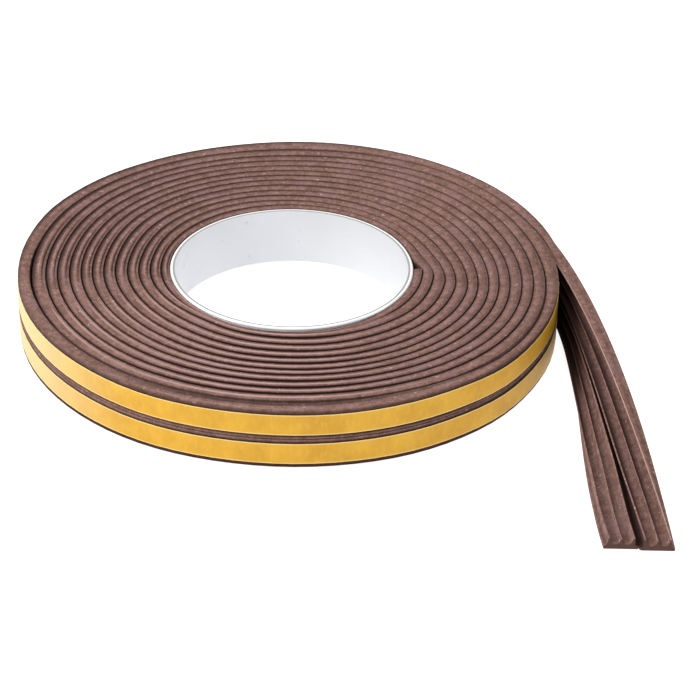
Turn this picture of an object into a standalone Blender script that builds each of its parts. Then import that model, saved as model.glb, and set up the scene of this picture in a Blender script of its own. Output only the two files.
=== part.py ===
# E-profile seal strip: a twin foam strip wound on a low tube core, its free end laid out flat
# Metres, +Z up, standing on z = 0 with the middle of its footprint at the origin
import math

import bmesh
import bpy
from mathutils import Vector

# Foam section of one strip, from its flat adhesive back to its three ribs
STRIP_WIDTH = 0.0090
STRIP_THICKNESS = 0.00335
EDGE_THICKNESS = 0.0009
LIP_THICKNESS = 0.0011
LIP_WIDTH = 0.00075
FLOOR_THICKNESS = 0.0014
RIB_TIP_WIDTH = 0.00045
RIB_INSET = 0.00105
MIDDLE_RIB_DROP = 0.0003
GROOVE_POINTS = 4

# In the roll the outer ribs are pressed towards the edges and leave a narrower lip
PRESSED_LIP_WIDTH = 0.0005
PRESSED_INSET = 0.0006

# The two strips of the twin, held side by side by a thin web behind a notch
STRIP_SPACING = 0.0003
NOTCH_DEPTH = 0.0003
WEB_THICKNESS = 0.00065

# Release paper on the adhesive back of each strip
PAPER_WIDTH = 0.00645
PAPER_THICKNESS = 0.00022

# Core tube
CORE_RADIUS = 0.0354
CORE_WALL = 0.0015
CORE_HEIGHT = 0.0181
CORE_CHAMFER = 0.0003

# Winding: turns lie a pitch apart, and the outer ones stand a little higher
TURNS = 13
PITCH = 0.00336
TURN_RISE = 0.0005
STEP_OUT_ANGLE = math.radians(50)
FACETS = 44

# Free end: leaves the roll along its tangent, turns over and lies on its back
# Reach and offset place its cut end from the roll's axis
LEAVE_ANGLE = math.radians(12)
FREE_REACH = 0.1144
FREE_OFFSET = 0.0845
FREE_END_ANGLE = math.radians(5.5)
LEAVE_PULL = 0.033
END_PULL = 0.040
FREE_STATIONS = 22
TWIST_START = 0.53
TORN_SHARE = 0.47
RIB_START_LENGTH = 0.008

# Clearance between pieces that touch, and how far joined foam bites into foam
CLEARANCE = 0.0003
BITE = 0.0002
START_SINK = 0.0003

TWIN_WIDTH = 2 * STRIP_WIDTH + STRIP_SPACING
WINDING_BORE = CORE_RADIUS + CLEARANCE
RING_TURNS = TURNS - 1
RING_RADIUS = WINDING_BORE + RING_TURNS * PITCH
ROLL_RADIUS = RING_RADIUS + PITCH
PAPER_MARGIN = (STRIP_WIDTH - PAPER_WIDTH) / 2
PAPER_STACK = CLEARANCE + PAPER_THICKNESS
FILLED_THICKNESS = PITCH + BITE


def mix(start, end, share):
    return start + (end - start) * share


def smooth(share):
    share = min(max(share, 0.0), 1.0)
    return share * share * (3 - 2 * share)


def make_material(name, color, roughness):
    material = bpy.data.materials.new(name)
    material.use_nodes = True
    shader = material.node_tree.nodes["Principled BSDF"]
    shader.inputs["Base Color"].default_value = (*color, 1.0)
    shader.inputs["Roughness"].default_value = roughness
    shader.inputs["Metallic"].default_value = 0.0
    material.diffuse_color = (*color, 1.0)
    return material


def add_object(name, bm, material, parent):
    mesh = bpy.data.meshes.new(name)
    bm.to_mesh(mesh)
    bm.free()
    mesh.materials.append(material)
    part = bpy.data.objects.new(name, mesh)
    bpy.context.collection.objects.link(part)
    part.parent = parent
    return part


# Sections are lists of (across, deep): across the strip from its lower edge, deep from its back

def groove(left, right, left_deep, right_deep):
    """Rounded scallop between two rib tips, ends included."""
    points = []
    for step in range(GROOVE_POINTS + 1):
        turn = math.pi * step / GROOVE_POINTS
        rim = mix(left_deep, right_deep, step / GROOVE_POINTS)
        across = mix(left, right, (1 - math.cos(turn)) / 2)
        points.append((across, mix(rim, FLOOR_THICKNESS, math.sin(turn))))
    return points


def lower_strip(filled):
    """Section of the lower strip; filled presses its ribs and closes its grooves, as on the roll."""
    middle = STRIP_WIDTH / 2
    half_tip = RIB_TIP_WIDTH / 2
    middle_deep = STRIP_THICKNESS - MIDDLE_RIB_DROP
    inner_tip = STRIP_WIDTH - RIB_INSET
    outer_tip = mix(RIB_INSET, PRESSED_INSET, filled)
    lip = mix(LIP_WIDTH, PRESSED_LIP_WIDTH, filled)
    ribs = [(STRIP_WIDTH, NOTCH_DEPTH + WEB_THICKNESS), (inner_tip, STRIP_THICKNESS)]
    ribs += groove(inner_tip - RIB_TIP_WIDTH, middle + half_tip, STRIP_THICKNESS, middle_deep)
    ribs += groove(middle - half_tip, RIB_INSET + RIB_TIP_WIDTH, middle_deep, STRIP_THICKNESS)
    ribs.append((outer_tip, STRIP_THICKNESS))
    back = [(0.0, 0.0), (STRIP_WIDTH, 0.0), (STRIP_WIDTH, NOTCH_DEPTH)]
    edge = [(lip, LIP_THICKNESS), (0.0, EDGE_THICKNESS)]
    return back + [(across, mix(deep, FILLED_THICKNESS, filled)) for across, deep in ribs] + edge


def twin_section(filled):
    """Lower strip, then the upper one as its mirror image."""
    lower = lower_strip(filled)
    return lower + [(TWIN_WIDTH - across, deep) for across, deep in lower]


def paper_section(strip_edge):
    low = strip_edge + PAPER_MARGIN
    high = low + PAPER_WIDTH
    return [(low, -CLEARANCE), (high, -CLEARANCE), (high, -PAPER_STACK), (low, -PAPER_STACK)]


# A station is (corner, along the width, into the foam, how filled its grooves are)

def wound_station(turned):
    """Station on the outer turn, turned clockwise from where that turn starts."""
    stepped = smooth(turned / STEP_OUT_ANGLE)
    radius = mix(RING_RADIUS - START_SINK, ROLL_RADIUS, stepped)
    outward = Vector((math.cos(turned), -math.sin(turned), 0.0))
    return outward * radius + Vector((0.0, 0.0, TURN_RISE)), Vector((0.0, 0.0, 1.0)), -outward, 1.0


def free_station(share):
    """Station on the free end, a cubic curve from the leave point (0) to the cut end (1)."""
    up = Vector((0.0, 0.0, 1.0))
    leave = Vector((math.cos(LEAVE_ANGLE), math.sin(LEAVE_ANGLE), 0.0)) * ROLL_RADIUS
    leave_way = Vector((math.sin(LEAVE_ANGLE), -math.cos(LEAVE_ANGLE), 0.0))
    end = Vector((FREE_OFFSET, -FREE_REACH, 0.0))
    end_way = Vector((math.sin(FREE_END_ANGLE), -math.cos(FREE_END_ANGLE), 0.0))
    bend = leave + leave_way * LEAVE_PULL
    last_bend = end - end_way * END_PULL
    rest = 1 - share
    corner = leave * rest**3 + bend * (3 * rest**2 * share)
    corner += last_bend * (3 * rest * share**2) + end * share**3
    side_angle = LEAVE_ANGLE * rest**2
    side = Vector((math.cos(side_angle), math.sin(side_angle), 0.0))
    twist = math.radians(90) * (TWIST_START * share + (1 - TWIST_START) * share**2)
    across = up * math.cos(twist) + side * math.sin(twist)
    deep = up * math.sin(twist) - side * math.cos(twist)
    filled = 1 - smooth((corner - leave).length / RIB_START_LENGTH)
    return corner + up * mix(PAPER_STACK, TURN_RISE, rest**3), across, deep, filled


def strip_stations():
    facet = math.tau / FACETS
    leave = math.tau - LEAVE_ANGLE
    wound = [wound_station(facet * step) for step in range(FACETS) if facet * step < leave - facet / 4]
    free = [free_station(step / FREE_STATIONS) for step in range(FREE_STATIONS + 1)]
    return wound, free


def place(station, point):
    corner, across, deep, _ = station
    return corner + across * point[0] + deep * point[1]


def add_walls(bm, rings, loop):
    """Skin between each two rings of vertices, round the points that loop names."""
    for near, far in zip(rings, rings[1:]):
        for here, there in zip(loop, loop[1:] + loop[:1]):
            bm.faces.new((near[here], near[there], far[there], far[here]))


def make_outer_turn(stations, torn_from, material, parent):
    """Outer turn and free end in one: a twin section that splits in two where it is torn."""
    bm = bmesh.new()
    rings = []
    for station in stations:
        rings.append([bm.verts.new(place(station, point)) for point in twin_section(station[3])])
    count = len(lower_strip(0.0))
    lower = list(range(count))
    upper = list(range(count, 2 * count))
    web = [lower[2], upper[2], upper[3], lower[3]]
    twin = lower[:3] + upper[2::-1] + upper[:2:-1] + lower[3:]
    add_walls(bm, rings[:torn_from + 1], twin)
    add_walls(bm, rings[torn_from:], lower)
    add_walls(bm, rings[torn_from:], upper)
    bm.faces.new([rings[0][index] for index in twin])
    bm.faces.new([rings[torn_from][index] for index in web])
    bm.faces.new([rings[-1][index] for index in lower])
    bm.faces.new([rings[-1][index] for index in upper])
    bmesh.ops.recalc_face_normals(bm, faces=bm.faces)
    turn = add_object("outer_turn_guide", bm, material, parent)
    turn.hide_render = True
    turn.display_type = "WIRE"
    return turn


def winding_profile():
    """Half section of the turns under the outer one: each shows its lip and pressed rib on both ends."""
    wound_edge = [(PITCH, PRESSED_INSET), (LIP_THICKNESS, PRESSED_LIP_WIDTH)]
    wound_edge += [(EDGE_THICKNESS, 0.0), (0.0, 0.0)]
    top = []
    bottom = []
    for turn in range(RING_TURNS):
        back = WINDING_BORE + (turn + 1) * PITCH
        low = TURN_RISE * turn / RING_TURNS
        high = low + TWIN_WIDTH
        for inward, step in wound_edge:
            top.append((back - inward, high - step))
            bottom.append((back - inward, low + step))
    return top + bottom[::-1]


def core_profile():
    bore = CORE_RADIUS - CORE_WALL
    top = [(bore, CORE_HEIGHT - CORE_CHAMFER), (bore + CORE_CHAMFER, CORE_HEIGHT)]
    top += [(CORE_RADIUS - CORE_CHAMFER, CORE_HEIGHT), (CORE_RADIUS, CORE_HEIGHT - CORE_CHAMFER)]
    return top + [(CORE_RADIUS, 0.0), (bore, 0.0)]


def make_turned(name, profile, material, parent):
    """Closed (radius, height) outline turned about +Z."""
    bm = bmesh.new()
    points = [bm.verts.new((radius, 0.0, height)) for radius, height in profile]
    for here, there in zip(points, points[1:] + points[:1]):
        bm.edges.new((here, there))
    turned = add_object(name, bm, material, parent)
    screw = turned.modifiers.new("Turn", "SCREW")
    screw.axis = "Z"
    screw.angle = math.tau
    screw.steps = FACETS
    screw.render_steps = FACETS
    screw.use_merge_vertices = True
    screw.merge_threshold = 0.00001
    screw.use_smooth_shade = False
    return turned


def make_paper(name, strip_edge, stations, material, parent):
    bm = bmesh.new()
    section = paper_section(strip_edge)
    rings = [[bm.verts.new(place(station, point)) for point in section] for station in stations]
    add_walls(bm, rings, list(range(len(section))))
    bm.faces.new(rings[0])
    bm.faces.new(rings[-1])
    bmesh.ops.recalc_face_normals(bm, faces=bm.faces)
    return add_object(name, bm, material, parent)


def footprint_middle(stations):
    """Middle of the rectangle that the roll and its free end cover on the floor."""
    reach = ROLL_RADIUS + PAPER_STACK
    corners = [place(stations[-1], point) for point in twin_section(0.0)]
    corners += [place(stations[-1], point) for point in paper_section(STRIP_WIDTH + STRIP_SPACING)]
    across = [-reach, reach] + [corner.x for corner in corners]
    along = [-reach, reach] + [corner.y for corner in corners]
    return (min(across) + max(across)) / 2, (min(along) + max(along)) / 2


def main():
    for old in list(bpy.data.objects):
        bpy.data.objects.remove(old, do_unlink=True)

    foam = make_material("foam", (0.27, 0.16, 0.13), 0.95)
    paper = make_material("release_paper", (0.72, 0.41, 0.06), 0.6)
    plastic = make_material("core", (0.78, 0.79, 0.82), 0.5)

    wound, free = strip_stations()
    stations = wound + free
    middle_x, middle_y = footprint_middle(stations)
    roll_axis = bpy.data.objects.new("roll_axis", None)
    bpy.context.collection.objects.link(roll_axis)
    roll_axis.location = (-middle_x, -middle_y, 0.0)

    make_turned("core", core_profile(), plastic, roll_axis)

    torn_from = len(wound) + round(FREE_STATIONS * (1 - TORN_SHARE))
    outer_turn = make_outer_turn(stations, torn_from, foam, roll_axis)
    strip = make_turned("seal_strip", winding_profile(), foam, roll_axis)
    join = strip.modifiers.new("Outer turn", "BOOLEAN")
    join.operation = "UNION"
    join.solver = "EXACT"
    join.object = outer_turn

    make_paper("release_paper_lower", 0.0, stations[1:], paper, roll_axis)
    make_paper("release_paper_upper", STRIP_WIDTH + STRIP_SPACING, stations[1:], paper, roll_axis)


main()
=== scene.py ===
# E-profile seal strip: a roll of twin foam strip with its free end laid out in front of it
import math

import bmesh
import bpy
from mathutils import Matrix, Vector, noise


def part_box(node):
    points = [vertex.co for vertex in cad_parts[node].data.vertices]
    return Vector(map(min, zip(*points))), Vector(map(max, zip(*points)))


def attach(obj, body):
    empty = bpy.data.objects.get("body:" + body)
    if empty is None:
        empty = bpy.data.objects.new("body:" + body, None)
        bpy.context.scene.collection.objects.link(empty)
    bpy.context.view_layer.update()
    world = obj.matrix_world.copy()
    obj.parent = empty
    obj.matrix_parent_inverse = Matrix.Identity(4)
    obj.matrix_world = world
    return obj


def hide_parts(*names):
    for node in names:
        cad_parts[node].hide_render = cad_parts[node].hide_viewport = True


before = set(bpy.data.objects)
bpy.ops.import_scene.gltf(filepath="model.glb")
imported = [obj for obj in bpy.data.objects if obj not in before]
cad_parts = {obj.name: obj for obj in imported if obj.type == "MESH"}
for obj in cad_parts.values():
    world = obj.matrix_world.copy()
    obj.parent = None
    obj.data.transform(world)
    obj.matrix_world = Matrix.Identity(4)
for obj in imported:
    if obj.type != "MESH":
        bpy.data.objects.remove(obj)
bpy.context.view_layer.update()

mm = 0.001
coreLow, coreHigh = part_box("core")
rollAxis = Vector(((coreLow[0] + coreHigh[0]) / 2, (coreLow[1] + coreHigh[1]) / 2, 0.0))
print("roll axis at", [round(value / mm, 2) for value in rollAxis])


# Small helpers

def mix(start, end, share):
    return start + (end - start) * share


def ramp(value, start, end):  # 0 before start, 1 after end, smooth between them
    share = min(max((value - start) / (end - start), 0.0), 1.0)
    return share * share * (3 - 2 * share)


def during(value, span):  # 1 along the span, with a soft start and a soft end
    startFrom, startTo, endFrom, endTo = span
    return ramp(value, startFrom, startTo) * (1 - ramp(value, endFrom, endTo))


def wave(place, pitch, lane):  # smooth wander between -1 and 1, its own for every lane
    return noise.noise(Vector((place / pitch, lane * 7.31, 0.5)))


# smooth line through (place, value, ...) points, level at the ends
def throughPoints(points, place):
    last = len(points) - 1
    place = min(max(place, points[0][0]), points[last][0])
    spot = max(number for number in range(last) if points[number][0] <= place)
    before, start, end, after = (points[min(max(spot + step, 0), last)] for step in (-1, 0, 1, 2))
    share = (place - start[0]) / (end[0] - start[0])
    values = []
    for lane in range(1, len(start)):
        slopeIn = (end[lane] - before[lane]) / (end[0] - before[0]) * (end[0] - start[0])
        slopeOut = (after[lane] - start[lane]) / (after[0] - start[0]) * (end[0] - start[0])
        bend = 3 * (end[lane] - start[lane]) - 2 * slopeIn - slopeOut
        rest = slopeIn + slopeOut - 2 * (end[lane] - start[lane])
        values.append(start[lane] + slopeIn * share + bend * share**2 + rest * share**3)
    return values


sharpFrom = 48  # degrees between faces from which an edge is shown sharp


def finishPiece(name, bm, material, replaced):
    mesh = bpy.data.meshes.new(name)
    bm.to_mesh(mesh)
    bm.free()
    mesh.materials.append(material)
    mesh.set_sharp_from_angle(angle=math.radians(sharpFrom))
    piece = bpy.data.objects.new(name, mesh)
    bpy.context.collection.objects.link(piece)
    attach(piece, "root")
    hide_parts(replaced)
    print(name, "has", sum(len(face.vertices) - 2 for face in mesh.polygons), "triangles")


# Shader sockets with plain maths

class Wire:
    def __init__(self, tree, link):
        self.tree = tree
        self.link = link

    def make(self, kind, settings, sockets, out=0):
        node = self.tree.nodes.new("ShaderNode" + kind)
        for name, value in settings.items():
            setattr(node, name, value)
        for name, value in sockets.items():
            if isinstance(value, Wire):
                self.tree.links.new(value.link, node.inputs[name])
            else:
                node.inputs[name].default_value = value
        return Wire(self.tree, node.outputs[out])

    def maths(self, operation, first, second):
        return self.make("Math", {"operation": operation}, {0: first, 1: second})

    def __add__(self, other):
        return self.maths("ADD", self, other)

    def __radd__(self, other):
        return self.maths("ADD", other, self)

    def __sub__(self, other):
        return self.maths("SUBTRACT", self, other)

    def __rsub__(self, other):
        return self.maths("SUBTRACT", other, self)

    def __mul__(self, other):
        return self.maths("MULTIPLY", self, other)

    def __rmul__(self, other):
        return self.maths("MULTIPLY", other, self)

    def between(self, low, high):  # 0 under low, 1 over high
        sockets = {"Value": self, "From Min": low, "From Max": high}
        return self.make("MapRange", {"interpolation_type": "SMOOTHSTEP"}, sockets)

    def grain(self, scale, detail=3.0, rough=0.55):
        sockets = {"Vector": self, "Scale": scale, "Detail": detail, "Roughness": rough}
        return self.make("TexNoise", {}, sockets)

    def part(self, axis):
        return self.make("SeparateXYZ", {}, {0: self}, axis)

    def stretched(self, along, across):
        return self.make("Mapping", {}, {"Vector": self, "Scale": (along, across, 1.0)})

    def tint(self, first, second):  # the wire is the factor
        return self.make("Mix", {"data_type": "RGBA"}, {0: self, 6: first, 7: second}, 2)


def newMaterial(name):
    material = bpy.data.materials.new(name)
    material.use_nodes = True
    tree = material.node_tree
    shader = tree.nodes["Principled BSDF"]
    places = Wire(tree, tree.nodes.new("ShaderNodeTexCoord").outputs["Object"])
    return material, tree, shader, places


def feed(tree, wire, shader, socket):
    tree.links.new(wire.link, shader.inputs[socket])


def addGrain(tree, shader, look, rough, height):  # the finish's roughness and its bump
    least, more = look["roughness"]
    feed(tree, least + rough * more, shader, "Roughness")
    distance, strength = look["bump"]
    bump = height.make("Bump", {}, {"Height": height, "Distance": distance, "Strength": strength})
    feed(tree, bump, shader, "Normal")


# Foam strip: the section of one strip, the turns of the roll, and the free end, all in millimetres

strip = {
    "width": 9.0,
    "spacing": 0.3,        # between the two strips of the twin
    "edge": 0.12,          # rounding of the back's edges
    "notch": 0.3,          # from the back to the web that joins the strips
    "web": 0.65,
    "rowsByPaper": (0.3, 0.05),  # rows of the back beside the paper's edge and under it
    "grooveFloor": 1.4,
    "pressedFloor": 2.0,
    # outer edge, lip, flank and rib as (across, deep), lying free and pressed in the roll
    "freeRim": [(0.0, 0.12), (0.0, 0.78), (0.1, 0.9), (0.72, 1.08), (0.86, 1.5),
                (0.98, 3.22), (1.06, 3.35), (1.4, 3.35), (1.48, 3.22)],
    "pressedRim": [(0.0, 0.12), (0.0, 0.85), (0.02, 1.5), (0.1, 1.95), (0.2, 2.3),
                   (0.15, 2.9), (0.35, 3.22), (1.5, 3.33), (1.95, 3.3)],
    "freeMiddle": [(4.3, 2.95), (4.38, 3.05)],
    "pressedMiddle": [(4.3, 3.25), (4.38, 3.33)],
    "thickness": 3.35,
}

# painted shade of each row of the section: 1 a black painted shadow in a crease, 0 plain foam,
# under 0 a painted highlight
shading = {
    # at the free end, from the outer edge to the rib
    "leftRim": [0.45, 0.3, 0.2, 0.5, 0.5, 0.1, -0.9, -0.5],
    "rightRim": [0.3, 0.25, 0.25, 0.35, 0.3, 0.1, -0.9, -0.5],
    # and from one rib's shaded side to the next one's lit side
    "groove": [1.0, 0.62, 0.34, 0.3, 0.26, 0.0],
    # painted highlight on the middle rib's tip
    "middleTip": -0.8,
    "facing": 0.5,         # painted shade on the sides that face each other
    # painted shade in the web, on the back's lower margin and upper edge, a painted shadow beside
    # the papers, and on backs that the next turn covers
    "web": 0.95,
    "lowerEdge": [0.85, 0.75],
    "upperEdge": 0.75,
    "underPaper": 0.95,
    "betweenPapers": [0.4, -0.3, -0.4, -0.3],  # added to the band's own painted shade, a painted shadow along the paper
    "backInRoll": [1.0, 1.0, 0.5, 1.0, 1.0, 1.0],
    "cornerInRoll": 0.2,
}

winding = {
    "turns": 13,
    "stations": 90,        # for each turn
    "coreRadius": 35.4,
    "coreRoom": 0.05,
    "paperRoom": 0.15,     # between a turn's ribs and the back of the turn under it
    "height": 18.3,
    "dish": 0.5,           # the outer turns stand this much higher than the inner ones
    "backs": [37.9, 41.0, 44.3, 47.6, 51.2, 54.5, 57.8, 60.9, 64.3, 67.8, 71.2, 75.2, 79.4],
    # how far the turns bulge at each angle: (degrees, all of them, outer ones more than inner ones)
    "outOfRound": [(-10, 0.71, 0.0), (10, 0.85, 0.2), (30, 1.04, -0.3), (50, 0.84, -0.3),
                   (70, 0.0, -0.9), (90, -0.55, -0.7), (110, -0.5, -0.3), (130, -0.55, 0.8),
                   (150, -0.4, 0.6), (170, 0.0, 0.0), (190, -0.3, 0.0), (210, 0.1, -0.3),
                   (230, 0.0, -0.9), (250, -0.62, -1.4), (270, -1.2, -1.0), (290, -0.68, 0.1),
                   (310, -0.1, 1.0), (330, 0.2, 0.8), (350, 0.71, 0.0), (370, 0.85, 0.2)],
    "innerRound": (0.25, 180, 600),  # less so next to the core: share, and turned degrees
    "wander": (0.12, 47),  # millimetres, and degrees from one wave to the next
    "front": (30, 70, 120, 160),  # 0 degrees is at the right, 90 at the front
    "squeeze": 0.9,        # the inner turns are pressed together at the front
    "squeezed": (400, 1200),
    # back of the last turn: (degrees from its start, radius)
    "outerReach": [(-60, 75.2), (-30, 75.3), (-3, 77.3), (10, 78.0), (29, 78.5), (44, 79.4),
                   (55, 79.7), (65, 79.8), (77, 79.5), (89, 79.3), (101, 79.2), (120, 79.6),
                   (150, 79.5), (191, 79.3), (203, 79.7), (211, 79.5), (223, 79.2), (234, 78.7),
                   (250, 78.5), (259, 78.6), (268, 79.0), (282, 79.5), (296, 79.7), (306, 79.6),
                   (320, 79.5), (334, 79.2), (348, 79.2), (360, 79.2)],
    "outerJoin": (60, 20),  # degrees before its start over which the last turn takes that up
    "swell": 4.6,          # how thick a turn may swell, the rest being a gap under it
    "lastSwell": [(0, 5.6), (150, 5.6), (162, 3.9), (184, 3.9), (198, 5.6), (360, 5.6)],
    # painted shade on the turns' tops, which changes round the roll with the light: (degrees, outer
    # corner, lip, middle, dip, rib, gap)
    "tops": [(0, 0.42, 0.5, 0.35, 0.15, 0.25, 0.7), (50, 0.5, 0.25, -0.1, 0.05, 0.55, 1.0),
             (90, 0.8, -0.1, -0.85, 0.1, 1.0, 1.0), (125, 0.6, -0.05, -0.5, -0.35, 0.5, 1.0),
             (150, 0.45, 0.0, 0.2, -0.7, 0.0, 0.85), (180, 0.85, 0.5, -0.45, 0.9, 0.1, 0.95),
             (225, 0.9, 0.6, 0.35, -0.1, 0.2, 1.0), (270, 0.8, 0.38, 0.2, 0.0, 0.4, 1.0),
             (315, 0.45, 0.2, 0.14, 0.1, 0.28, 0.85), (360, 0.42, 0.5, 0.35, 0.15, 0.25, 0.7)],
    # the same along the last turn, from the right round the front to the left
    "lastTops": [(30, 0.35, 0.35, 0.2, 0.1, 0.4, 0.9), (60, 0.3, 0.0, 0.0, 0.5, 0.5, 0.6),
                 (110, 0.35, -0.35, 0.15, 0.62, 0.58, 0.5), (135, 0.3, 0.15, 0.2, 0.2, 0.3, 0.6),
                 (165, 0.45, 0.2, 0.0, 0.2, 0.3, 1.0), (200, 0.8, 0.5, 0.2, 0.3, 0.2, 1.0)],
    "lastTopsSpan": (30, 55, 190, 215),
    "band": (0.62, 0.3, 20, 160),  # shade between the papers, from the right round to the left
    "edge": 0.5,           # shade of the upper edge
    "edgeMore": 0.4,       # and how much darker it is at the left and the back
    "edgeSpan": (165, 195, 330, 350),
    "lastButOne": (0.35, 0.35),  # painted shade of its corner and its back's edge, seen over the lower last turn
    "lastButOneSpan": (15, 45, 120, 150),
    "firstStep": (14, 3),  # degrees before and after its start over which a turn steps out
    "lastStep": (26, 45),
    "climb": (350, 361),   # degrees over which the second turn leaves the core
    "dishFrom": (36, 82),  # radii between which the tops rise
    "topWander": (0.12, 31),
    "topLow": 0.1,
    "sunk": 0.9,           # the first turn's top has sunk at the front
    "sunkSpan": (30, 60, 120, 160),
    "lowered": 0.35,       # so has the last turn's at the front
    "loweredSpan": (62, 80, 118, 135),
    "slipped": (0.24, 0.8, 0.4),  # and at the right: its foot, its top and its papers
    "slippedSpan": (2, 20, 34, 56),
    "uncovered": (20, 8),  # degrees before the last turn's start over which the back comes to light
}

freeEnd = {
    "stations": 92,
    "leave": 12,           # degrees short of the full turn where it leaves the roll
    "start": (77.47, 16.47),
    "length": 130.87,
    "bow": (27.817, -57.126, 43.846, -7.494),  # to the right, for each power of the way along
    "twist": (47.9, 58.4, -16.3),              # degrees, for the same
    "lift": 0.14,          # height of the back's outer edge over the floor
    "opened": 0.07,        # share of the way in which the ribs spring open
    "lean": (1.1, 0.45),   # the ribs of the left and the right strip lean towards each other
    "leanFrom": (0.05, 0.3),
    "leanLess": (0.8, 0.72, 1.0),  # and stand up again near their cut ends
    "leanRoots": (0.9, 3.3),
    "torn": 0.53,          # from here on the two strips lie apart
    "gap": 0.35,           # that opens between them up to their cut ends
    "tornWeb": {7: (0.155, 5), 8: (0.08, 6)},  # row: how far it stands out, lane of its wave
    "ragged": (0.1, 1.3),  # height and pitch of that wave
    "shorter": 0.5,        # the left strip's cut end lies this much further back
    "shorterOver": 7,      # stations
    # painted shade between the papers and on the upper edge
    "band": 0.5,
    "edge": 0.15,
    "shadow": (0.3, 0.72),  # the roll's shade ends between these shares of the way
    "shadowSlant": 0.28,   # the roll's shade reaches further along the strip's lower side
    "litRows": 7,          # but not over the upper strip's rim
}

paper = {                  # a thin ribbon on the back of each strip, wound in with it
    "width": 6.45,
    "thickness": 0.11,
    "glue": 0.02,
    "short": 1.0,          # it ends this far before the strip's cut end
    "sway": (0.06, 0.09),
}

up = Vector((0, 0, 1))
rowStep = 0.0007           # from one row of the section to the next in the layer named strip
cutShift = 10              # the cut faces lie this far off in it, so that they get their own look


def blendPoints(first, second, share):
    return [(mix(a, c, share), mix(b, d, share)) for (a, b), (c, d) in zip(first, second)]


def groove(start, end, floor):  # rounded hollow between two ribs
    steps, fullness = 5, 0.7
    points = []
    for step in range(1, steps):
        turn = math.pi * step / steps
        across = mix(start[0], end[0], (1 - math.cos(turn)) / 2)
        level = mix(start[1], end[1], step / steps)
        points.append((across, mix(level, floor, math.sin(turn) ** fullness)))
    return points


def stripOutline(pressed):  # back first, then the ribs from the web side to the outer edge
    rim = blendPoints(strip["freeRim"], strip["pressedRim"], pressed)
    middle = blendPoints(strip["freeMiddle"], strip["pressedMiddle"], pressed)
    floor = mix(strip["grooveFloor"], strip["pressedFloor"], pressed)
    half = rim + groove(rim[-1], middle[0], floor) + middle
    width, edge, notch = strip["width"], strip["edge"], strip["notch"]
    paperEdge = (width - paper["width"]) / 2
    beside, under = strip["rowsByPaper"]
    back = [(edge, 0.0), (paperEdge - beside, 0.0), (paperEdge + under, 0.0)]
    back += [(width - paperEdge - under, 0.0), (width - paperEdge + beside, 0.0)]
    back += [(width - edge, 0.0), (width, edge), (width, notch)]
    inner = [(width, notch + strip["web"])] + [(width - across, deep) for across, deep in half[3:]]
    return back + inner + half[::-1]


def outlineShade(station, mirrored=False):  # painted shade, one value for each point of the section
    pressed, covered = station["pressed"], station["covered"]
    corner, lip, middle, dip, rib, gap = station["tops"]
    woundRim = [corner, lip, middle, (middle + dip) / 2, dip, rib, gap, gap, 1.0]
    wound = woundRim + [1.0] * len(shading["groove"])
    freeRim = shading["rightRim"] if mirrored else shading["leftRim"]
    halves = []
    for fromRim in (not mirrored, mirrored):
        slope = shading["groove"] if fromRim else shading["groove"][::-1]
        free = freeRim + slope + [shading["middleTip"]]
        halves.append([mix(one, other, pressed) for one, other in zip(free, wound)])
    outer, inner = halves
    facing = (1 - pressed) * shading["facing"]
    # painted shade on the sides that face each other
    inner[3:6] = [mix(shade, 1.0, facing) for shade in inner[3:6]]
    openBack = [station["edge"], shading["upperEdge"]] if mirrored else shading["lowerEdge"][:]
    openBack += [shading["underPaper"]] * 2
    openBack += [station["band"] + more for more in shading["betweenPapers"]]
    woundBack = [corner + shading["cornerInRoll"], station["under"]] + shading["backInRoll"]
    back = [mix(one, other, covered) for one, other in zip(openBack, woundBack)]
    shades = back + [mix(shading["web"], 1.0, pressed)] + inner[3:] + outer[::-1]
    if station["share"] is None:
        return shades
    acrosses = [across for across, deep in stripOutline(pressed)]
    lit = len(shades) - freeEnd["litRows"] if mirrored else len(shades)
    # the roll's painted shadow over the free end's ribs, darkest near the roll and on the lower
    # side
    for spot in range(len(back), lit):
        share = acrosses[spot] / (2 * strip["width"])
        distance = station["share"] + freeEnd["shadowSlant"] * (1 - share if mirrored else share)
        shades[spot] = max(shades[spot], 1 - ramp(distance, *freeEnd["shadow"]))
    return shades


def ringRadius(turned):  # back of the turn under way, turned in degrees from the strip's inner end
    number = min(int(turned // 360), winding["turns"] - 2)
    radius = winding["backs"][number]
    for later in (number, number + 1):
        if 0 < later < winding["turns"] - 1:
            share = later / (winding["turns"] - 1)
            before = mix(winding["firstStep"][0], winding["lastStep"][0], share)
            after = mix(winding["firstStep"][1], winding["lastStep"][1], share)
            step = winding["backs"][later] - winding["backs"][later - 1]
            passed = ramp(turned - 360 * later, -before, after)
            radius += step * (passed - 1) if later == number else step * passed
    bulge, outerMore = throughPoints(winding["outOfRound"], turned % 360)
    halfWay = winding["turns"] // 2 + 1
    bulge += outerMore * (turned / 360 - halfWay) / halfWay
    reach, pitch = winding["wander"]
    bulge += reach * wave(turned, pitch, 1)
    least, growsFrom, fullFrom = winding["innerRound"]
    atFront = during(turned % 360, winding["front"])
    pressedIn = winding["squeeze"] * atFront * (1 - ramp(turned, *winding["squeezed"]))
    return radius + bulge * mix(least, 1.0, ramp(turned, growsFrom, fullFrom)) - pressedIn


def backRadius(turned):
    turned = max(turned, 0.0)
    last = 360 * (winding["turns"] - 1)
    joinFrom, joinTo = (last - before for before in winding["outerJoin"])
    if turned < joinFrom:
        return ringRadius(turned)
    reach = throughPoints(winding["outerReach"], turned - last)[0]
    return mix(ringRadius(turned), reach, ramp(turned, joinFrom, joinTo))


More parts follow.
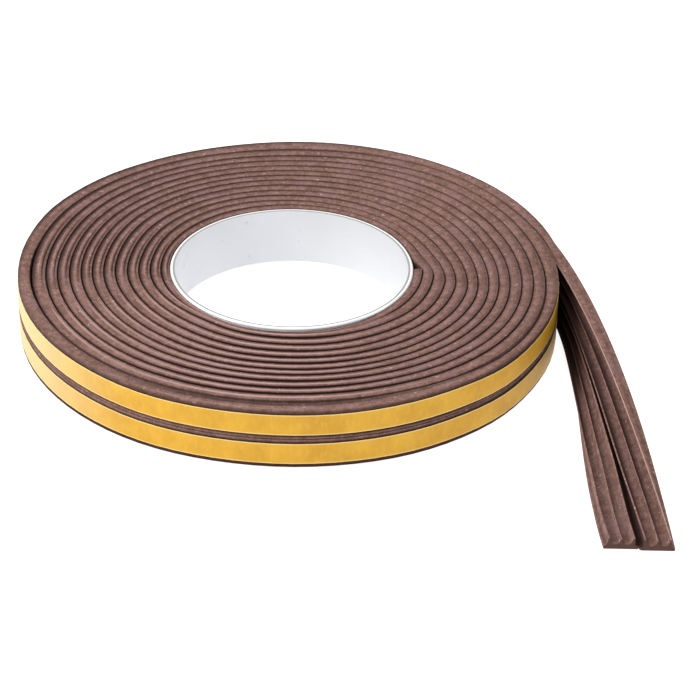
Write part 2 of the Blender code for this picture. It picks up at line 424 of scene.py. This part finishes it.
def bedRadius(turned):  # what the ribs rest on: the core, then the turn under them
    coreTop = winding["coreRadius"] + winding["coreRoom"]
    turnTop = backRadius(turned - 360) + winding["paperRoom"]
    return mix(coreTop, turnTop, ramp(turned, *winding["climb"]))


def woundPoint(turned):
    angle = math.radians(turned)
    return Vector((math.cos(angle), -math.sin(angle), 0)) * backRadius(turned)


def woundStation(turned):
    way = (woundPoint(turned + 0.5) - woundPoint(turned - 0.5)).normalized()
    inward = way.cross(up)
    radius = backRadius(turned)
    number, within = divmod(turned, 360)
    last = winding["turns"] - 1
    reach, pitch = winding["topWander"]
    rise = winding["dish"] * ramp(radius, *winding["dishFrom"])
    top = rise + reach * wave(turned, pitch, 2) - winding["topLow"]
    if number == 0:
        top -= winding["sunk"] * during(within, winding["sunkSpan"])
    tops = throughPoints(winding["tops"], within)
    litCorner, litEdge = winding["lastButOne"]
    lit = number == last - 1 and within < winding["lastButOneSpan"][-1]
    if lit:
        tops[0] = mix(tops[0], litCorner, during(within, winding["lastButOneSpan"]))
    swell, paperDrop = winding["swell"], 0.0
    if number == last:
        swell = throughPoints(winding["lastSwell"], within)[0]
        slipped = during(within, winding["slippedSpan"])
        foot, head, paperDrop = (slipped * amount for amount in winding["slipped"])
        top -= winding["lowered"] * during(within, winding["loweredSpan"]) + head
        rise -= foot
        ownTops = throughPoints(winding["lastTops"], within)
        share = during(within, winding["lastTopsSpan"])
        tops = [mix(common, own, share) for common, own in zip(tops, ownTops)]
    tall = (winding["height"] + top - rise) / (2 * strip["width"] + strip["spacing"])
    deep = min(radius - bedRadius(turned), swell)
    bandRight, bandLeft, bandFrom, bandTo = winding["band"]
    edgeMore = winding["edgeMore"] * during(within, winding["edgeSpan"])
    return {
        "at": woundPoint(turned) + up * rise,
        "across": up * tall,
        "deep": inward * (deep / strip["thickness"]),
        "pressed": 1.0,
        "covered": 1 - ramp(turned, *(360 * last - before for before in winding["uncovered"])),
        "tops": tops,
        "band": mix(bandRight, bandLeft, ramp(within, bandFrom, bandTo)),
        "under": litEdge if lit else 1.0,
        "edge": winding["edge"] + edgeMore,
        "paperDrop": paperDrop,
        "share": None,
        "apart": 0.0,
    }


def freeStation(share):
    bow, twist = freeEnd["bow"], freeEnd["twist"]
    x = freeEnd["start"][0] + sum(bow[power] * share ** (power + 1) for power in range(4))
    y = freeEnd["start"][1] - freeEnd["length"] * share
    turn = math.radians(sum(twist[power] * share ** (power + 1) for power in range(3)))
    slant = math.radians(freeEnd["leave"]) * (1 - share) ** 6
    side = Vector((math.cos(slant), math.sin(slant), 0))
    first = woundStation(360 * winding["turns"] - freeEnd["leave"])
    opened = ramp(share, 0.0, freeEnd["opened"])
    squeeze = mix(first["deep"].length, 1.0, opened)
    tall = mix(first["across"].length, 1.0, opened)
    lift = mix(freeEnd["lift"], first["at"].z, (1 - share) ** 3)
    apart = max(share - freeEnd["torn"], 0) / (1 - freeEnd["torn"])
    return {
        "at": Vector((x, y, lift)),
        "across": (up * math.cos(turn) + side * math.sin(turn)) * tall,
        "deep": (up * math.sin(turn) - side * math.cos(turn)) * squeeze,
        "pressed": 1 - opened,
        "covered": 0.0,
        "tops": first["tops"],
        "band": freeEnd["band"],
        "under": 1.0,
        "edge": freeEnd["edge"],
        "paperDrop": 0.0,
        "share": share,
        "apart": freeEnd["gap"] * apart,
    }


def leanOver(outline, lean):  # the ribs lean, their roots stay
    return [(across + lean * ramp(deep, *freeEnd["leanRoots"]), deep) for across, deep in outline]


def placeOutline(station, outline, mirrored=False, shift=0.0):
    twin = 2 * strip["width"] + strip["spacing"]
    points = []
    for across, deep in outline:
        across = twin - across if mirrored else across
        spot = station["at"] + station["across"] * (across + shift) + station["deep"] * deep
        points.append(spot * mm + rollAxis)
    return points


def joinTwin(lower, upper):  # one loop round both strips and the web between them
    return lower[:8] + upper[7::-1] + upper[:7:-1] + lower[8:]


def addRolledGrid(bm, rings, shades, lengths, layers):
    # a flat grid whose columns go to the rings of the strip and whose rows go round its outline
    uvLayer, shadeLayer = layers
    columns, rows = len(rings) - 1, len(rings[0])
    made = bmesh.ops.create_grid(bm, x_segments=columns, y_segments=rows, size=0.5, calc_uvs=True)
    for vert in made["verts"]:
        column = round((vert.co.x + 0.5) * columns)
        row = round((vert.co.y + 0.5) * rows) % rows
        vert.co = rings[column][row]
        vert[shadeLayer] = shades[column][row]
    faces = {face for vert in made["verts"] for face in vert.link_faces}
    for face in faces:
        for loop in face.loops:
            spot = loop[uvLayer].uv
            column = round(spot.x * columns)
            loop[uvLayer].uv = (lengths[column], spot.y * rows * rowStep)


def closeStrip(bm, uvLayer):
    bmesh.ops.remove_doubles(bm, verts=bm.verts, dist=0.000002)
    openEdges = [edge for edge in bm.edges if edge.is_boundary]
    caps = bmesh.ops.holes_fill(bm, edges=openEdges, sides=0)["faces"]
    for face in bm.faces:
        face.smooth = True
    for face in caps:
        face.smooth = False
        for loop in face.loops:
            loop[uvLayer].uv = (loop.vert.co.x - cutShift, loop.vert.co.z)
    bmesh.ops.recalc_face_normals(bm, faces=bm.faces)
    print("closed", len(caps), "ends")


def stripStations():
    last = 360 * winding["turns"] - freeEnd["leave"]
    step = 360 / winding["stations"]
    count = int(last / step)
    freeCount = freeEnd["stations"]
    stations = [woundStation(step * number) for number in range(count)]
    stations += [freeStation(number / freeCount) for number in range(freeCount + 1)]
    lengths = [0.0]
    for here, there in zip(stations, stations[1:]):
        lengths.append(lengths[-1] + (there["at"] - here["at"]).length * mm)
    print("strip of", round(lengths[-1], 2), "m with", len(stations), "stations")
    return stations, lengths, count


def makeStrip(stations, lengths, woundCount, material):
    bm = bmesh.new()
    layers = bm.loops.layers.uv.new("strip"), bm.verts.layers.float.new("paintedShade")
    torn = woundCount + round(freeEnd["stations"] * freeEnd["torn"])
    last = len(stations) - 1
    lowerRings, upperRings, lowerShades, upperShades = [], [], [], []
    for number, station in enumerate(stations):
        outline = stripOutline(station["pressed"])
        lean = 0.0
        if station["share"]:
            less, lessFrom, lessTo = freeEnd["leanLess"]
            lean = ramp(station["share"], *freeEnd["leanFrom"])
            lean *= 1 - less * ramp(station["share"], lessFrom, lessTo)
        leftward, rightward = (leanOver(outline, lean * amount) for amount in freeEnd["lean"])
        if number > torn:  # what is left of the web stands out from the facing sides, ragged
            height, pitch = freeEnd["ragged"]
            for spot, (reach, lane) in freeEnd["tornWeb"].items():
                reach += station["apart"] / 2
                ragged = height * wave(lengths[number] / mm, pitch, lane)
                for side, way in ((leftward, ragged), (rightward, -ragged)):
                    across, deep = side[spot]
                    side[spot] = (across + reach + way, deep)
        shorter = freeEnd["shorter"] * ramp(number, last - freeEnd["shorterOver"], last)
        back = Vector((0, shorter, 0)) * mm
        lower = placeOutline(station, leftward, shift=-station["apart"])
        lowerRings.append([point + back for point in lower])
        upperRings.append(placeOutline(station, rightward, mirrored=True))
        lowerShades.append(outlineShade(station))
        upperShades.append(outlineShade(station, mirrored=True))
    twinRings = [joinTwin(lower, upper) for lower, upper in zip(lowerRings, upperRings)]
    twinShades = [joinTwin(lower, upper) for lower, upper in zip(lowerShades, upperShades)]
    joined, apart = slice(None, torn + 1), slice(torn, None)
    addRolledGrid(bm, twinRings[joined], twinShades[joined], lengths[joined], layers)
    addRolledGrid(bm, lowerRings[apart], lowerShades[apart], lengths[apart], layers)
    addRolledGrid(bm, upperRings[apart], upperShades[apart], lengths[apart], layers)
    closeStrip(bm, layers[0])
    finishPiece("foam_strip", bm, material, "seal_strip")


def makePaper(name, side, stations, lengths, material, replaced):
    low = (strip["width"] - paper["width"]) / 2
    high = low + paper["width"]
    near, far = -paper["glue"], -paper["glue"] - paper["thickness"]
    bm = bmesh.new()
    layers = bm.loops.layers.uv.new("strip"), bm.verts.layers.float.new("paintedShade")
    reach, pitch = paper["sway"]
    rings = []
    for number, station in enumerate(stations):
        sway = reach * wave(lengths[number], pitch, 11 + side)
        sway += station["paperDrop"] if side else -station["paperDrop"]
        start, end = low + sway, high + sway
        outline = [(start, near), (end, near), (end, far), (start, far)]
        flat = dict(station, deep=station["deep"].normalized())
        shift = 0 if side else -station["apart"]
        ring = placeOutline(flat, outline, mirrored=side == 1, shift=shift)
        short = paper["short"] * mm if number == len(stations) - 1 else 0
        rings.append([point + Vector((0, short, 0)) for point in ring])
    # painted shade on the paper where the next turn covers it
    shades = [[station["covered"]] * 4 for station in stations]
    addRolledGrid(bm, rings, shades, lengths, layers)
    closeStrip(bm, layers[0])
    finishPiece(name, bm, material, replaced)


# Core tube

core = {
    "radius": 35.4,
    "wall": 1.5,
    "height": 18.1,
    # (out from the bore, up from the foot or down from the top, shade): 1 bare board, -1 painted
    # light
    # the bore's foot is painted light like the glowing floor, with a thin line of painted shade
    # above it
    "boreFoot": [(0.0, 0.3, -1.0), (0.0, 0.9, -1.0), (0.0, 1.0, 0.5), (0.0, 1.2, 0.0)],
    # the rim's middle shows bare board; its outer edge, the outer wall and its foot are painted
    # light
    "rim": [(0.0, 0.28, 0.0), (0.1, 0.1, 0.0), (0.18, 0.12, 1.0), (0.69, 0.12, 1.0),
            (0.75, 0.02, -1.0), (0.85, 0.0, -1.0), (1.05, 0.0, -1.0), (1.32, 0.12, -1.0),
            (1.5, 0.45, -1.0), (1.36, 0.8, -1.0), (1.36, 1.3, -1.0), (1.5, 1.42, -1.0)],
    "outerFoot": [(1.5, 9.0, -1.0), (1.5, 0.15, -1.0), (1.35, 0.0, -1.0), (0.2, 0.0, -1.0)],
    "facets": 192,
}


def makeCore(material):
    bore, height = core["radius"] - core["wall"], core["height"]
    profile = [(bore + out, tall, shade) for out, tall, shade in core["boreFoot"]]
    profile += [(bore + out, height - down, shade) for out, down, shade in core["rim"]]
    profile += [(bore + out, tall, shade) for out, tall, shade in core["outerFoot"]]
    bm = bmesh.new()
    board = bm.verts.layers.float.new("board")
    points = []
    for distance, tall, shade in profile:
        points.append(bm.verts.new((distance * mm, 0, tall * mm)))
        points[-1][board] = shade
    for here, there in zip(points, points[1:] + points[:1]):
        bm.edges.new((here, there))
    bmesh.ops.spin(bm, geom=bm.verts[:] + bm.edges[:], cent=(0, 0, 0), axis=(0, 0, 1),
                   angle=math.tau, steps=core["facets"], use_merge=True)
    bmesh.ops.remove_doubles(bm, verts=bm.verts, dist=0.00001)
    bmesh.ops.recalc_face_normals(bm, faces=bm.faces)
    bmesh.ops.translate(bm, verts=bm.verts, vec=rollAxis)
    for face in bm.faces:
        face.smooth = True
    finishPiece("core_tube", bm, material, "core")


# Finishes

foamLook = {
    "light": (0.32, 0.18, 0.15, 1),
    "dark": (0.165, 0.087, 0.069, 1),
    "speck": (0.50, 0.38, 0.34, 1),
    # painted highlight on lips and rib tips, for rows whose shade is under 0
    "paintedHighlight": (0.54, 0.35, 0.31, 1),
    "purple": (0.25, 0.145, 0.15, 1),
    # painted shade for the gaps between turns, the grooves and beside the papers
    "paintedShade": (0.02, 0.005, 0.003, 1),
    "cut": (0.075, 0.036, 0.028, 1),
    "specular": 0.25,
    "roughness": (0.84, 0.14),  # least, and how much the cells add
    "bump": (0.00012, 0.85),    # metres, strength
}

paperLook = {
    "gold": (0.70, 0.385, 0.032, 1),
    "deep": (0.58, 0.30, 0.022, 1),
    "pale": (0.80, 0.50, 0.08, 1),
    "edge": (0.92, 0.70, 0.28, 1),
    # painted sheen: paler towards the left, as light from the left would be reflected
    "paintedSheen": (0.80, 0.62, 0.33, 1),
    "paintedSheenFrom": (-0.05, -0.095),  # metres to the left
    "edgeFrom": (0.44, 0.48),      # share of the width from its middle
    # painted shade for paper that the next turn covers
    "paintedShade": (0.10, 0.045, 0.01, 1),
    "specular": 0.25,
    "roughness": (0.36, 0.2),
    "bump": (0.00006, 0.4),
}

coreLook = {
    "white": (0.735, 0.74, 0.775, 1),
    # painted shade: a greyer white towards the right, dimming the bore's wall that faces the lamp
    # on the left
    "paintedShadeRight": (0.64, 0.645, 0.665, 1),
    "paintedShadeRightFrom": (-0.022, -0.002),  # metres to the right
    "board": (0.36, 0.35, 0.32, 1),
    "smudge": (0.47, 0.47, 0.50, 1),
    # painted light: a brighter white on the bore's foot, standing in for the floor's glow, and on
    # the outer wall, lifting its shade
    "paintedLight": (0.93, 0.93, 0.95, 1),
    "roughness": (0.42, 0.2),
    "bump": (0.00008, 0.35),
}


def readAttribute(wire, name):
    return wire.make("Attribute", {"attribute_name": name}, {}, "Fac")


def readStrip(wire):
    return wire.make("UVMap", {"uv_map": "strip"}, {})


def makeFoamLook():
    material, tree, shader, places = newMaterial("brown foam")
    shader.inputs["Specular IOR Level"].default_value = foamLook["specular"]
    strips = readStrip(places)
    # painted shade of each row: over 0 darker, under 0 a painted highlight
    paintedShade = readAttribute(places, "paintedShade")
    cut = 1 - strips.part("X").between(-0.6 * cutShift, -0.5 * cutShift)
    cells = places.grain(2600, 2.5, 0.6)  # the foam's skin, cell by cell
    mottle = places.grain(620, 4, 0.6)
    drift = places.grain(120, 3)
    streaks = strips.stretched(60, 5200).grain(1, 3)  # drawn out along the strip
    tone = (mottle * 0.5 + cells * 0.5 + streaks * 0.3 + drift * 0.15).between(0.63, 0.85)
    color = tone.tint(foamLook["dark"], foamLook["light"])
    color = (drift.between(0.5, 0.72) * 0.5).tint(color, foamLook["purple"])
    specks = places.grain(900, 1, 0.4).between(0.70, 0.77)  # lint
    color = (specks * 0.7).tint(color, foamLook["speck"])
    # painted highlight where the painted shade is under 0
    color = (0 - paintedShade).between(0, 1).tint(color, foamLook["paintedHighlight"])
    color = (cut * 0.9).tint(color, foamLook["cut"])
    # painted shade in gaps, grooves and beside the papers, kept off the cut faces
    color = (paintedShade.between(0, 1) * (1 - cut)).tint(color, foamLook["paintedShade"])
    feed(tree, color, shader, "Base Color")
    addGrain(tree, shader, foamLook, cells, cells * 0.6 + mottle * 0.6 + streaks * 0.4)
    return material


def makePaperLook():
    material, tree, shader, places = newMaterial("golden release paper")
    shader.inputs["Specular IOR Level"].default_value = paperLook["specular"]
    strips = readStrip(places)
    paintedShade = readAttribute(places, "paintedShade")
    fibre = strips.stretched(900, 2600).grain(1, 4, 0.6)
    cloud = places.grain(90, 4, 0.6)
    color = cloud.between(0.3, 0.7).tint(paperLook["deep"], paperLook["gold"])
    color = (fibre.between(0.45, 0.8) * 0.35).tint(color, paperLook["pale"])
    dots = places.grain(1500, 1, 0.4).between(0.75, 0.82)
    color = (dots * 0.45).tint(color, paperLook["deep"])
    # painted sheen, paler towards the left
    sheenShare = places.part("X").between(*paperLook["paintedSheenFrom"])
    color = (sheenShare * 0.75).tint(color, paperLook["paintedSheen"])
    # the outer face lies between the rows 2 and 3
    aside = strips.make("Math", {"operation": "ABSOLUTE"}, {0: strips.part("Y") - 2.5 * rowStep})
    edges = (aside * (1 / rowStep)).between(*paperLook["edgeFrom"])
    color = (edges * 0.7).tint(color, paperLook["edge"])
    # painted shade where the next turn covers the paper
    color = paintedShade.tint(color, paperLook["paintedShade"])
    feed(tree, color, shader, "Base Color")
    addGrain(tree, shader, paperLook, fibre, fibre * 0.5 + cloud)
    return material


def makeCoreLook():
    material, tree, shader, places = newMaterial("white core")
    board = readAttribute(places, "board")
    cloud = places.grain(55, 5, 0.6)
    fibre = places.grain(1400, 3, 0.6)
    smudges = places.grain(210, 2, 0.7).between(0.66, 0.74)
    # painted shade, greyer towards the right
    paintedShadeRight = places.part("X").between(*coreLook["paintedShadeRightFrom"])
    color = paintedShadeRight.tint(coreLook["white"], coreLook["paintedShadeRight"])
    color = (cloud.between(0.35, 0.75) * 0.12 + smudges * 0.3).tint(color, coreLook["smudge"])
    # painted light where the attribute is under 0, bare board over 0
    color = (0 - board).between(0, 1).tint(color, coreLook["paintedLight"])
    color = board.between(0, 1).tint(color, coreLook["board"])
    feed(tree, color, shader, "Base Color")
    addGrain(tree, shader, coreLook, fibre, fibre * 0.5 + cloud)
    return material


# Studio: pale floor, soft lights, and the camera

studio = {
    "floorSize": 3.0,
    "worldStrength": 0.48,
    "floorColor": (0.45, 0.45, 0.45, 1),
    "floorRoughness": 0.95,
    "floorGlow": 0.9,      # keeps the floor near white round the roll
    "floorDrop": 0.0001,
    "white": (1, 1, 1, 1),
    # name: (place round the roll in metres, size, watts)
    "lamps": {
        "key": ((-1.0, -0.5, 0.8), 0.8, 12.5),
        "top": ((0.1, 0.4, 1.3), 1.2, 8.5),
        "fill": ((1.1, -0.35, 0.25), 0.8, 3.5),
    },
}

view = {
    "place": (16.864, -708.828, 418.935),  # millimetres from the roll's axis
    "down": 31.139,        # degrees, as the next
    "roll": 1.128,
    "focal": 2793.369,     # in pixels of the frame
    "frame": 696,
    "sensor": 36,
    "nearest": 0.01,
}


def makeStudio():
    bm = bmesh.new()
    bmesh.ops.create_grid(bm, x_segments=1, y_segments=1, size=studio["floorSize"])
    mesh = bpy.data.meshes.new("floor")
    bm.to_mesh(mesh)
    bm.free()
    floor = bpy.data.objects.new("floor", mesh)
    bpy.context.collection.objects.link(floor)
    floor.location = (0, 0, -studio["floorDrop"])
    material = bpy.data.materials.new("pale floor")
    material.use_nodes = True
    shader = material.node_tree.nodes["Principled BSDF"]
    shader.inputs["Roughness"].default_value = studio["floorRoughness"]
    shader.inputs["Base Color"].default_value = studio["floorColor"]
    shader.inputs["Specular IOR Level"].default_value = 0.0
    shader.inputs["Emission Color"].default_value = studio["white"]
    shader.inputs["Emission Strength"].default_value = studio["floorGlow"]
    mesh.materials.append(material)
    world = bpy.data.worlds.new("studio")
    world.use_nodes = True
    background = world.node_tree.nodes["Background"]
    background.inputs["Color"].default_value = studio["white"]
    background.inputs["Strength"].default_value = studio["worldStrength"]
    bpy.context.scene.world = world
    for name, (place, size, power) in studio["lamps"].items():
        lamp = bpy.data.lights.new(name, "AREA")
        lamp.size = size
        lamp.energy = power
        light = bpy.data.objects.new(name, lamp)
        bpy.context.collection.objects.link(light)
        light.location = Vector(place) + rollAxis
        towardsRoll = rollAxis - light.location
        light.rotation_euler = towardsRoll.to_track_quat("-Z", "Y").to_euler()
    print("floor, world and", len(studio["lamps"]), "lamps made")


def makeCamera():
    down, roll = math.radians(view["down"]), math.radians(view["roll"])
    right = Vector((1, 0, 0))
    upward = Vector((0, math.sin(down), math.cos(down)))
    backward = Vector((0, -math.cos(down), math.sin(down)))
    turnedRight = right * math.cos(roll) + upward * math.sin(roll)
    turnedUp = upward * math.cos(roll) - right * math.sin(roll)
    lens = bpy.data.cameras.new("camera")
    lens.sensor_width = view["sensor"]
    lens.lens = view["focal"] * lens.sensor_width / view["frame"]
    lens.clip_start = view["nearest"]
    camera = bpy.data.objects.new("camera", lens)
    bpy.context.collection.objects.link(camera)
    place = Vector(view["place"]) * mm + rollAxis
    turn = Matrix((turnedRight, turnedUp, backward)).transposed().to_4x4()
    camera.matrix_world = Matrix.Translation(place) @ turn
    bpy.context.scene.camera = camera


makeCamera()
makeStudio()
foam = makeFoamLook()
gold = makePaperLook()
makeCore(makeCoreLook())
stations, lengths, woundCount = stripStations()
makeStrip(stations, lengths, woundCount, foam)
makePaper("paper_lower", 0, stations, lengths, gold, "release_paper_lower")
makePaper("paper_upper", 1, stations, lengths, gold, "release_paper_upper")
bpy.context.scene.view_settings.view_transform = "Standard"
print("all pieces made")
